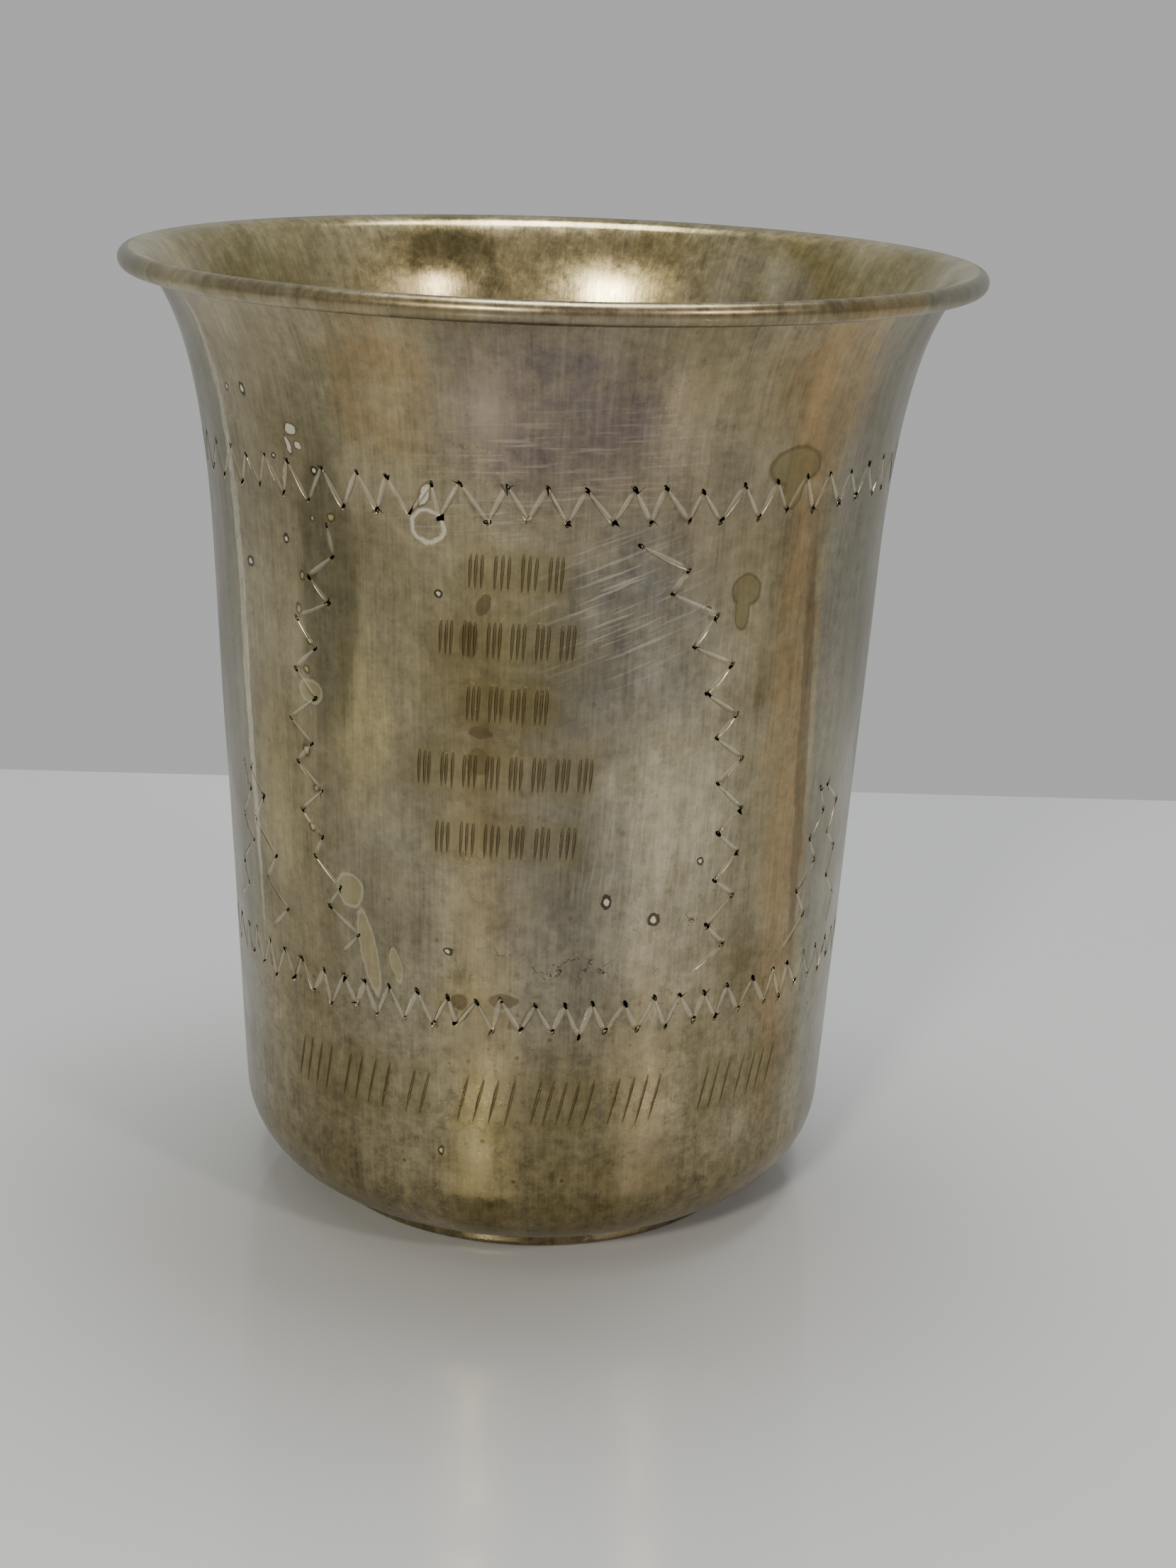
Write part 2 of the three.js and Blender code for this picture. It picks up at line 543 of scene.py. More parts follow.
    def cutters(self, strokes: list[Stroke]) -> bpy.types.Object:
        """Build the cutters of all strokes as one object.

        Args:
            strokes: The strokes.

        Returns:
            The cutter object.
        """
        ball = bmesh.new()
        sides, rings = self.ball_sides, self.ball_rings
        bmesh.ops.create_uvsphere(ball, u_segments=sides, v_segments=rings, radius=1.0)
        for vertex in ball.verts:
            vertex.co.x *= 1 + self.flare * vertex.co.z
        unit = bpy.data.meshes.new("graver_point")
        ball.to_mesh(unit)
        ball.free()
        shape = bmesh.new()
        for laid_out in self.tool_marks(strokes):
            laid = unit.copy()
            laid.transform(laid_out)
            shape.from_mesh(laid)
            bpy.data.meshes.remove(laid)
        bpy.data.meshes.remove(unit)
        bmesh.ops.recalc_face_normals(shape, faces=shape.faces)
        mesh = bpy.data.meshes.new("graver")
        shape.to_mesh(mesh)
        shape.free()
        graver = bpy.data.objects.new("graver", mesh)
        bpy.context.collection.objects.link(graver)
        return graver


# --------------------------------------------------------------------------- the finishes


def add_node(tree: Tree, kind: str, inputs: dict | None = None, **settings) -> bpy.types.Node:
    """Add a shader node with its settings, its values and its links.

    Args:
        tree: The node tree.
        kind: The node's type name, without the word that all of them start with.
        inputs: Each input by name or index, with a value or the socket that feeds it.
        **settings: The node's own settings.

    Returns:
        The node.
    """
    node = tree.nodes.new("ShaderNode" + kind)
    for name, value in settings.items():
        setattr(node, name, value)
    for name, value in (inputs or {}).items():
        if isinstance(value, Socket):
            tree.links.new(value, node.inputs[name])
        else:
            node.inputs[name].default_value = value
    return node


@dataclass(frozen=True)
class Grain:
    """A noise: its size in millimetres, the octaves it has and how rough they are."""

    size: float
    detail: float
    roughness: float = 0.5
    distortion: float = 0.0

    def inputs(self, place: Socket) -> dict:
        """Give the inputs of a noise that draws the grain at a place."""
        return {
            "Vector": place,
            "Scale": 1 / self.size,
            "Detail": self.detail,
            "Roughness": self.roughness,
            "Distortion": self.distortion,
        }


@dataclass(frozen=True)
class Fade:
    """How something fades in: where it starts, where it is full, and its least and its most."""

    start: float
    full: float
    least: float = 0.0
    most: float = 1.0

    def inputs(self, value: Socket) -> dict:
        """Give the inputs of a range that fades by a value."""
        return {0: value, 1: self.start, 2: self.full, 3: self.least, 4: self.most}


@dataclass(frozen=True)
class Waver:
    """How ragged an edge is: the noise that shifts it and how far, in millimetres."""

    grain: Grain
    reach: float


CLOUD, CLOUDY = Grain(11.0, 7, 0.62), Fade(0.34, 0.66)
PATCH, PATCHY = Grain(2.6, 5, 0.7, 0.4), Fade(0.3, 0.6, 0.45)
CREEP, CREPT = Grain(2.0, 4, 0.6), Fade(0.014, 0.004)
STRIPE, SCRATCH, SCRATCHED = Grain(1.0, 4, 0.62), Grain(1.0, 3), Fade(0.54, 0.68)
MOTTLE, POLISH = Grain(1.0, 6, 0.75), Grain(6.0, 5, 0.6)
MOTTLE_SWING = Fade(32, 14, 1.3, 2.21)
SPECK_SIZE, SPECK_EDGE, SPECK_SHARE = Fade(0.6, 1.0, 0.0, 0.2), Fade(0.0, 0.06), Fade(36, 12, 0.25, 0.7)
LOOSE = Waver(Grain(5.0, 5, 0.65), 3.0)
TIGHT = Waver(Grain(2.5, 5, 0.65), 0.5)
RAGGED = Waver(Grain(1.0, 5, 0.65), 0.3)


class Facing(Enum):
    """The side of the cup that a finish counts its angles from."""

    FRONT = -1
    BACK = 1


class Edge(Enum):
    """How a zone of tarnish or of painted reflection ends: the share of its size over which it fades."""

    SOFT = 1.0
    CLEAR = 0.4
    CRISP = 0.06


class Tint(Enum):
    """The colours of a sulphide film on silver, from the thinnest to the thickest; a few of them also paint
    reflections on the wall.
    """

    BARE = "ddd6bf"
    STRAW = "c9b884"
    TAN = "9a7c50"
    OLIVE = "776c42"
    MOSS = "5f5b42"
    VIOLET = "6a5f61"
    SLATE = "6a6a6b"
    BROWN = "54452f"
    PEWTER = "858070"
    SOOT = "2e2617"


@dataclass(frozen=True)
class Layer:
    """One layer of a small mark: it colours what lies between two shares of the mark's size."""

    tint: Tint
    strength: float
    outer: float = 1.0
    inner: float = -1.0


class Spot(Enum):
    """The kinds of small marks on the silver, as the layers that each is painted in."""

    BLOT = (Layer(Tint.OLIVE, 0.5), Layer(Tint.BROWN, 0.5, 1.06, 0.9))
    STAIN = (Layer(Tint.BROWN, 0.62),)
    BARE = (Layer(Tint.BROWN, 0.45, 1.35, 1.0), Layer(Tint.BARE, 0.85))
    WASHED = (Layer(Tint.STRAW, 0.28), Layer(Tint.BARE, 0.3, 1.06, 0.9))
    RING = (Layer(Tint.BARE, 0.85, 1.1, 0.86),)
    PIT = (Layer(Tint.SOOT, 0.8, 1.3), Layer(Tint.BARE, 0.95, 0.62))
    CRUST = (Layer(Tint.OLIVE, 0.35, 1.3), Layer(Tint.SOOT, 0.5, 1.0, 0.6), Layer(Tint.STRAW, 0.6, 0.5))


class Trace(Enum):
    """What the graver left, by the name of its attribute: how strong it shows, and its tint."""

    HALO = (0.35, Tint.OLIVE)
    CUT = (0.32, Tint.BARE)
    TICKED = (0.6, Tint.BROWN)
    PITTED = (1.0, Tint.SOOT)


@dataclass(frozen=True)
class Zone:
    """A patch of tarnish or of painted reflection: its middle, its half sizes in millimetres, its lean and
    its colour.
    """

    angle: float
    height: float
    half_width: float
    half_height: float
    tint: Tint
    strength: float = 0.6
    lean: float = 0.0
    edge: Edge = Edge.SOFT


@dataclass(frozen=True)
class Mark:
    """A small mark: its kind, its middle, its half sizes in millimetres and its lean."""

    kind: Spot
    angle: float
    height: float
    half_width: float
    half_height: float
    lean: float = 0.0


@dataclass(frozen=True)
class Scratches:
    """A field of fine parallel scratches: its middle, half sizes, lean, and how many show."""

    angle: float
    height: float
    half_width: float
    half_height: float
    lean: float
    share: float
    spacing: float = 0.28
    length: float = 3.92


Coat = tuple[Socket | float, Tint]


@dataclass(frozen=True)
class Finish:
    """A tarnished silver surface: its colours, its tarnish and painted reflections, its marks and its gloss.
    """

    name: str
    facing: Facing
    clean: str
    dull: str
    zones: tuple[Zone, ...]
    marks: tuple[Mark, ...] = ()
    scratches: tuple[Scratches, ...] = ()
    crazing: tuple[Zone, ...] = ()
    roughness: Place = (0.2, 0.42)

    def build(self) -> bpy.types.Material:
        """Make the material.

        Returns:
            The material.
        """
        material = bpy.data.materials.new(self.name)
        material.use_nodes = True
        tree = material.node_tree
        tree.nodes.clear()
        place = add_node(tree, "TexCoord").outputs["Object"]
        solid = add_node(tree, "VectorMath", {0: place, "Scale": 1 / MM}, operation="SCALE").outputs[0]
        axes = add_node(tree, "SeparateXYZ", {0: solid})
        side = {0: axes.outputs[1], 1: float(self.facing.value)}
        ahead = add_node(tree, "Math", side, operation="MULTIPLY")
        turn = add_node(tree, "Math", {0: axes.outputs[0], 1: ahead.outputs[0]}, operation="ARCTAN2")
        across = add_node(tree, "Math", {0: turn.outputs[0], 1: MEAN_RADIUS}, operation="MULTIPLY")
        wall = add_node(tree, "CombineXYZ", {0: across.outputs[0], 1: axes.outputs[2]})
        surface = Painting(self, tree, solid, wall.outputs[0], axes.outputs[2]).shader()
        add_node(tree, "OutputMaterial", {"Surface": surface})
        return material


@dataclass
class Painting:
    """A finish being painted, coat on coat.

    Colours are laid out on the wall as it is unrolled: across it from the middle of the
    finish's facing side, and up. Grain is drawn on the solid place, so that it has no seam.
    Sizes are in millimetres. Real brush lines are finer than a tenth of one, too fine to
    show, so they are drawn coarser, and so are the scratches.
    """

    finish: Finish
    tree: Tree
    solid: Socket
    wall: Socket
    height: Socket
    brush: Place = (0.25, 5.0)
    brush_swing: float = 0.75
    # Upright bands of lighter and darker tone: painted reflections of the room on the curved wall.
    reflection_streak: Place = (2.2, 22.0)
    reflection_streak_swing: float = 0.9
    speck_spacing: float = 1.2
    relief_height: float = 0.004
    mottle_rise: float = 1.6
    scratch_rise: float = -0.8

    def shader(self) -> Socket:
        """Paint every coat and shade the metal with them.

        Returns:
            The shader's output.
        """
        brushing = self.lines(self.brush)
        # Painted reflections: upright bands of lighter and darker tone, fixed on the wall.
        reflection_streaks = self.lines(self.reflection_streak)
        scratching = self.scratching()
        mottling = add_node(self.tree, "TexNoise", MOTTLE.inputs(self.solid)).outputs[0]
        colour = self.coated(self.silver(), (*self.zones(), *self.crazing()))
        colour = self.toned(colour, mottling, brushing, reflection_streaks)
        wear = ((scratching, Tint.BARE), self.specks(), *self.marks(), *self.traces())
        surface = {
            "Base Color": self.coated(colour, wear),
            "Metallic": 1.0,
            "Roughness": self.gloss(mottling),
            "Normal": self.relief(brushing, scratching, mottling),
        }
        return add_node(self.tree, "BsdfPrincipled", surface).outputs[0]

    def wavered(self, waver: Waver) -> Socket:
        """Shift the place on the wall by noise, so that what is laid out there has a ragged edge.

        Args:
            waver: How ragged the edge is.

        Returns:
            The shifted place.
        """
        ragged = add_node(self.tree, "TexNoise", waver.grain.inputs(self.solid))
        about = {0: ragged.outputs[1], 1: (0.5, 0.5, 0.5)}
        centred = add_node(self.tree, "VectorMath", about, operation="SUBTRACT")
        shifted = {0: centred.outputs[0], 1: (2 * waver.reach, 2 * waver.reach, 0), 2: self.wall}
        return add_node(self.tree, "VectorMath", shifted, operation="MULTIPLY_ADD").outputs[0]

    def spread(self, place: Socket, patch: Zone | Mark | Scratches) -> Socket:
        """Measure how far a place is from a patch's middle, as a share of the patch's size.

        Args:
            place: The place on the wall.
            patch: The patch.

        Returns:
            The share: 0 in the middle, 1 at the edge.
        """
        laid = {
            "Vector": place,
            "Location": (math.radians(patch.angle) * MEAN_RADIUS, patch.height, 0),
            "Rotation": (0, 0, math.radians(patch.lean)),
            "Scale": (patch.half_width, patch.half_height, 1),
        }
        turned = {0: add_node(self.tree, "Mapping", laid, vector_type="TEXTURE").outputs[0]}
        return add_node(self.tree, "VectorMath", turned, operation="LENGTH").outputs["Value"]

    def lines(self, size: Place) -> Socket:
        """Draw upright lines of noise.

        Args:
            size: The size of the noise across and upwards.

        Returns:
            The lines, about 0.5 on the whole.
        """
        shares = (1 / size[0], 1 / size[1], 0)
        drawn = add_node(self.tree, "VectorMath", {0: self.wall, 1: shares}, operation="MULTIPLY")
        return add_node(self.tree, "TexNoise", STRIPE.inputs(drawn.outputs[0])).outputs[0]

    def scratching(self) -> Socket | float:
        """Draw the fields of fine parallel scratches.

        Returns:
            The scratches: 0 beside them, up to 1 on them.
        """
        scratched = 0.0
        for patch in self.finish.scratches:
            lying = {
                "Vector": self.wall,
                "Rotation": (0, 0, math.radians(patch.lean)),
                "Scale": (patch.length, patch.spacing, 1),
            }
            turned = add_node(self.tree, "Mapping", lying, vector_type="TEXTURE")
            noisy = add_node(self.tree, "TexNoise", SCRATCH.inputs(turned.outputs[0]))
            within = Fade(1.2, 0.3, 0.0, patch.share).inputs(self.spread(self.wall, patch))
            amounts = {
                0: add_node(self.tree, "MapRange", SCRATCHED.inputs(noisy.outputs[0])).outputs[0],
                1: add_node(self.tree, "MapRange", within).outputs[0],
            }
            shown = add_node(self.tree, "Math", amounts, operation="MULTIPLY").outputs[0]
            either = {0: scratched, 1: shown}
            scratched = add_node(self.tree, "Math", either, operation="MAXIMUM").outputs[0]
        return scratched

    def silver(self) -> Socket:
        """Cloud the silver between its clean and its dull colour.

        Returns:
            The colour.
        """
        cloud = add_node(self.tree, "TexNoise", CLOUD.inputs(self.solid))
        cloudy = add_node(self.tree, "MapRange", CLOUDY.inputs(cloud.outputs[0]))
        metal = {0: cloudy.outputs[0], 6: linear(self.finish.clean), 7: linear(self.finish.dull)}
        return add_node(self.tree, "Mix", metal, data_type="RGBA").outputs[2]

    def coated(self, colour: Socket, coats: tuple[Coat, ...]) -> Socket:
        """Lay coats over a colour, one after another.

        Args:
            colour: The colour under them.
            coats: Each coat's amount and tint.

        Returns:
            The colour with all of them on it.
        """
        for amount, tint in coats:
            layers = {0: amount, 6: colour, 7: linear(tint.value)}
            colour = add_node(self.tree, "Mix", layers, data_type="RGBA").outputs[2]
        return colour

    def zones(self) -> Iterator[Coat]:
        """Lay out the zones of tarnish and of painted reflection. The soft ones are patchy.

        Yields:
            Their coats.
        """
        patchy = add_node(self.tree, "TexNoise", PATCH.inputs(self.solid))
        broken = add_node(self.tree, "MapRange", PATCHY.inputs(patchy.outputs[0]))
        loose, tight = self.wavered(LOOSE), self.wavered(TIGHT)
        for zone in self.finish.zones:
            soft, half = zone.edge is Edge.SOFT, zone.edge.value / 2
            spread = self.spread(loose if soft else tight, zone)
            edge = Fade(1 + half, 1 - half, 0.0, zone.strength).inputs(spread)
            amount = add_node(self.tree, "MapRange", edge, interpolation_type="SMOOTHSTEP").outputs[0]
            if soft:
                both = {0: amount, 1: broken.outputs[0]}
                amount = add_node(self.tree, "Math", both, operation="MULTIPLY").outputs[0]
            yield amount, zone.tint

    def crazing(self) -> Iterator[Coat]:
        """Draw thin crooked dark lines where the film has crept along cracks.

        Yields:
            Their coats.
        """
        creep = add_node(self.tree, "TexNoise", CREEP.inputs(self.solid))
        level = add_node(self.tree, "Math", {0: creep.outputs[0], 1: 0.5}, operation="SUBTRACT")
        near = add_node(self.tree, "Math", {0: level.outputs[0]}, operation="ABSOLUTE")
        line = add_node(self.tree, "MapRange", CREPT.inputs(near.outputs[0]))
        for zone in self.finish.crazing:
            edge = Fade(1.1, 0.8, 0.0, zone.strength).inputs(self.spread(self.wall, zone))
            both = {0: line.outputs[0], 1: add_node(self.tree, "MapRange", edge).outputs[0]}
            yield add_node(self.tree, "Math", both, operation="MULTIPLY").outputs[0], zone.tint

    def toned(self, colour: Socket, mottling: Socket, brushing: Socket, reflection_streaks: Socket) -> Socket:
        """Break the colour up with mottling, which is stronger low down, with brushing, and with upright
        bands of painted reflection.

        Args:
            colour: The colour so far.
            mottling: The mottling, about 0.5 on the whole.
            brushing: The brushing, likewise.
            reflection_streaks: Painted reflections of the room, in upright bands, likewise.

        Returns:
            The colour.
        """
        low = add_node(self.tree, "MapRange", MOTTLE_SWING.inputs(self.height)).outputs[0]
        tone = 1.0
        swings = ((mottling, low), (brushing, self.brush_swing), (reflection_streaks, self.reflection_streak_swing))
        for texture, swing in swings:
            centred = add_node(self.tree, "Math", {0: texture, 1: 0.5}, operation="SUBTRACT").outputs[0]
            swung = {0: centred, 1: swing, 2: tone}
            tone = add_node(self.tree, "Math", swung, operation="MULTIPLY_ADD").outputs[0]
        scaled = {0: colour, "Scale": tone}
        return add_node(self.tree, "VectorMath", scaled, operation="SCALE").outputs[0]

    def specks(self) -> Coat:
        """Scatter small dark specks of corrosion, most of them low down.

        Returns:
            Their coat.
        """
        scattered = {"Vector": self.solid, "Scale": 1 / self.speck_spacing}
        cells = add_node(self.tree, "TexVoronoi", scattered)
        size = add_node(self.tree, "SeparateXYZ", {0: cells.outputs["Color"]})
        reach = add_node(self.tree, "MapRange", SPECK_SIZE.inputs(size.outputs[0]))
        share = add_node(self.tree, "MapRange", SPECK_SHARE.inputs(self.height))
        gap = {0: reach.outputs[0], 1: cells.outputs["Distance"]}
        near = add_node(self.tree, "Math", gap, operation="SUBTRACT")
        inside = add_node(self.tree, "MapRange", SPECK_EDGE.inputs(near.outputs[0]))
        both = {0: inside.outputs[0], 1: share.outputs[0]}
        return add_node(self.tree, "Math", both, operation="MULTIPLY").outputs[0], Tint.BROWN

    def marks(self) -> Iterator[Coat]:
        """Lay out the small marks, one kind after another.

        Yields:
            Their coats.
        """
        ragged = self.wavered(RAGGED)
        for kind in Spot:
            spreads = [self.spread(ragged, mark) for mark in self.finish.marks if mark.kind is kind]
            if not spreads:
                continue
            nearest, *others = spreads
            for other in others:
                either = {0: nearest, 1: other}
                nearest = add_node(self.tree, "Math", either, operation="MINIMUM").outputs[0]
            for layer in kind.value:
                edges = (
                    Fade(layer.outer + MARK_EDGE, layer.outer - MARK_EDGE),
                    Fade(layer.inner - MARK_EDGE, layer.inner + MARK_EDGE, 0.0, layer.strength),
                )
                outer, inner = (add_node(self.tree, "MapRange", edge.inputs(nearest)) for edge in edges)
                both = {0: outer.outputs[0], 1: inner.outputs[0]}
                yield add_node(self.tree, "Math", both, operation="MULTIPLY").outputs[0], layer.tint

    def traces(self) -> Iterator[Coat]:
        """Stain the metal around the small strokes, leave the cuts bright and their pits dark.

        Yields:
            Their coats.
        """
        for trace in Trace:
            strength, tint = trace.value
            reach = add_node(self.tree, "Attribute", attribute_name=trace.name.lower()).outputs["Fac"]
            shown = {0: reach, 1: strength}
            yield add_node(self.tree, "Math", shown, operation="MULTIPLY").outputs[0], tint

    def gloss(self, mottling: Socket) -> Socket:
        """Vary the roughness: glossier where hands have rubbed, duller in the tarnish.

        Args:
            mottling: The mottling.

        Returns:
            The roughness.
        """
        cloud = add_node(self.tree, "TexNoise", POLISH.inputs(self.solid))
        both = add_node(self.tree, "Math", {0: cloud.outputs[0], 1: mottling}, operation="ADD")
        worn = Fade(0.7, 1.3, *self.finish.roughness).inputs(both.outputs[0])
        return add_node(self.tree, "MapRange", worn).outputs[0]

    def relief(self, brushing: Socket, scratching: Socket | float, mottling: Socket) -> Socket:
        """Raise the brushing and the mottling by a few microns and sink the scratches.

        Args:
            brushing: The brushing.
            scratching: The scratches.
            mottling: The mottling.

        Returns:
            The normal.
        """
        height = brushing
        for texture, rise in ((mottling, self.mottle_rise), (scratching, self.scratch_rise)):
            raised = {0: texture, 1: rise, 2: height}
            height = add_node(self.tree, "Math", raised, operation="MULTIPLY_ADD").outputs[0]
        bump = {"Height": height, "Strength": 1.0, "Distance": self.relief_height * MM}
        return add_node(self.tree, "Bump", bump).outputs[0]


# --------------------------------------------------------------------------- the cup


@dataclass
class Cup:
    """The spun, engraved and tarnished cup."""

    section: Section
    engraving: Engraving
    outside: Finish
    inside: Finish
    around: int = 304
    doublings: int = 3
    dent: float = 0.10
    dent_size: float = 17.0
    ripple: float = 0.015
    ripple_size: float = 5.0
    inwards: float = 0.6
    true_foot: float = 2.0
    true_rim: float = 74.0
    ease: float = 6.0
    cut_between: Place = (9.0, 72.0)
    cut_from: float = 0.01
    cut_over: float = 0.03
    halo_reach: float = 1.2
    pit_reach: float = 0.55
    sharp_angle: float = 40.0
    inside_from: float = 1.5
    floor_below: float = 3.0
    level: float = 0.9

    def spin(self) -> bpy.types.Object:
        """Spin the section through a part of a turn and double it into the whole cup.

        Returns:
            The plain cup.
        """
        shape = bmesh.new()
        row = [shape.verts.new((r * MM, 0, z * MM)) for r, z in self.section.whole()]
        edges = [shape.edges.new(pair) for pair in zip(row, row[1:])]
        part_turn = 2 * math.pi / 2**self.doublings
        bmesh.ops.spin(
            shape,
            geom=row + edges,
            cent=(0, 0, 0),
            axis=(0, 0, 1),
            angle=part_turn,
            steps=self.around // 2**self.doublings,
        )
        for doubling in range(self.doublings):
            whole = shape.verts[:] + shape.edges[:] + shape.faces[:]
            copied = bmesh.ops.duplicate(shape, geom=whole)["geom"]
            turn = Matrix.Rotation(part_turn * 2**doubling, 3, "Z")
            moved = [item for item in copied if isinstance(item, bmesh.types.BMVert)]
            bmesh.ops.rotate(shape, verts=moved, cent=(0, 0, 0), matrix=turn)
        bmesh.ops.remove_doubles(shape, verts=shape.verts, dist=0.0005 * MM)
        bmesh.ops.recalc_face_normals(shape, faces=shape.faces)
        mesh = bpy.data.meshes.new("silver_cup")
        shape.to_mesh(mesh)
        shape.free()
        cup = bpy.data.objects.new("silver_cup", mesh)
        bpy.context.collection.objects.link(cup)
        return cup

    def engrave(self, cup: bpy.types.Object, strokes: list[Stroke]) -> None:
        """Cut the strokes out of the cup.

        Args:
            cup: The plain cup.
            strokes: The strokes.
        """
        graver = self.engraving.cutters(strokes)
        cutting = cup.modifiers.new("engraving", "BOOLEAN")
        cutting.operation = "DIFFERENCE"
        cutting.solver = "MANIFOLD"
        cutting.object = graver
        cut = bpy.data.meshes.new_from_object(cup.evaluated_get(bpy.context.evaluated_depsgraph_get()))
        cup.modifiers.clear()
        plain = cup.data
        cup.data = cut
        cut.name = "silver_cup"
        bpy.data.meshes.remove(plain)
        bpy.data.objects.remove(graver)

    def wear(self, cup: bpy.types.Object, strokes: list[Stroke]) -> None:
        """Mark where the graver went, for the finish, and dent the sheet a little inwards.

        Args:
            cup: The engraved cup.
            strokes: The strokes.
        """
        mesh = cup.data
        flat = np.empty(len(mesh.vertices) * 3)
        mesh.vertices.foreach_get("co", flat)
        places = flat.reshape(-1, 3) / MM
        radius = np.hypot(places[:, 0], places[:, 1])
        height = places[:, 2]
        depth = self.section.radius_at(height) - radius
        low, high = self.cut_between
        on_wall = (height > low) & (height < high) & (depth < self.section.sheet / 2)
        cut = np.where(on_wall, np.clip((depth - self.cut_from) / self.cut_over, 0, 1), 0.0)
        across = np.arctan2(places[:, 0], -places[:, 1]) * MEAN_RADIUS
        zigzags, ticks = [s for s in strokes if s.pit], [s for s in strokes if s.halo]
        pitted = cut * self.nearness(across, height, zigzags, self.pit_reach, ends=True)
        halo = on_wall * self.nearness(across, height, ticks, self.halo_reach)
        ticked = cut * (halo > 0)
        for trace, values in zip(Trace, (halo, cut - ticked, ticked, pitted)):
            layer = mesh.attributes.new(trace.name.lower(), "FLOAT", "POINT")
            layer.data.foreach_set("value", values.astype(np.float32))
        for vertex, spot, reach in zip(mesh.vertices, places, radius):
            if reach < 1:
                continue
            big = self.dent * (noise.noise(Vector(spot) / self.dent_size) - self.inwards)
            small = self.ripple * (noise.noise(Vector(spot) / self.ripple_size) - self.inwards)
            low, high = (spot[2] - self.true_foot) / self.ease, (self.true_rim - spot[2]) / self.ease
            free = min(1.0, max(0.0, low)) * min(1.0, max(0.0, high))
            share = 1 + free * (big + small) / reach
            vertex.co.x *= share
            vertex.co.y *= share

    def nearness(
        self, across: np.ndarray, height: np.ndarray, strokes: list[Stroke], reach: float, ends: bool = False
    ) -> np.ndarray:
        """Measure how near each place lies to the nearest of a few strokes.

        Args:
            across: Distances along the wall from the front, in millimetres.
            height: Heights in millimetres.
            strokes: The strokes.
            reach: The distance at which the nearness ends.
            ends: Whether only the place where a stroke starts counts.

        Returns:
            The nearness: 1 on a stroke, 0 from the reach on.
        """
        nearest = np.full(len(across), np.inf)
        per_degree = math.radians(MEAN_RADIUS)
        for stroke in strokes:
            (start_angle, start_height), (end_angle, end_height) = stroke.start, stroke.end
            off_across, off_height = across - start_angle * per_degree, height - start_height
            run_across, run_height = (end_angle - start_angle) * per_degree, end_height - start_height
            along = off_across * run_across + off_height * run_height
            share = 0.0 if ends else np.clip(along / (run_across**2 + run_height**2), 0, 1)
            distance = np.hypot(off_across - share * run_across, off_height - share * run_height)
            nearest = np.minimum(nearest, distance)
        return smooth_fall(nearest, reach)

    def dress(self, cup: bpy.types.Object) -> None:
        """Give the outside and the inside their finishes and smooth the shading.

        Args:
            cup: The cup.
        """
        mesh = cup.data
        mesh.materials.clear()
        mesh.materials.append(self.outside.build())
        mesh.materials.append(self.inside.build())
        for face in mesh.polygons:
            outwards = Vector((face.center.x, face.center.y, 0)).normalized()
            inner = face.normal.dot(outwards) < 0 and face.center.z > self.inside_from * MM
            floor = face.normal.z > self.level and face.center.z < self.floor_below * MM
            face.material_index = 1 if inner or floor else 0
        mesh.shade_smooth()
        mesh.set_sharp_from_angle(angle=math.radians(self.sharp_angle))

    def build(self) -> bpy.types.Object:
        """Build the cup and set it on the frame.

        Returns:
            The cup.
        """
        strokes = self.engraving.strokes()
        cup = self.spin()
        self.engrave(cup, strokes)
        self.wear(cup, strokes)
        self.dress(cup)
        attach(cup, BODY)
        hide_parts(NODE)
        mesh = cup.data
        mesh.calc_loop_triangles()
        log.info("%s: %d strokes, %d triangles", cup.name, len(strokes), len(mesh.loop_triangles))
        return cup


# --------------------------------------------------------------------------- the studio


@dataclass(frozen=True)
class Softbox:
    """A rectangular studio light that looks at a point of the cup."""

    name: str
    place: tuple[float, float, float]
    width: float
    height: float
    power: float
    colour: str = "ffffff"


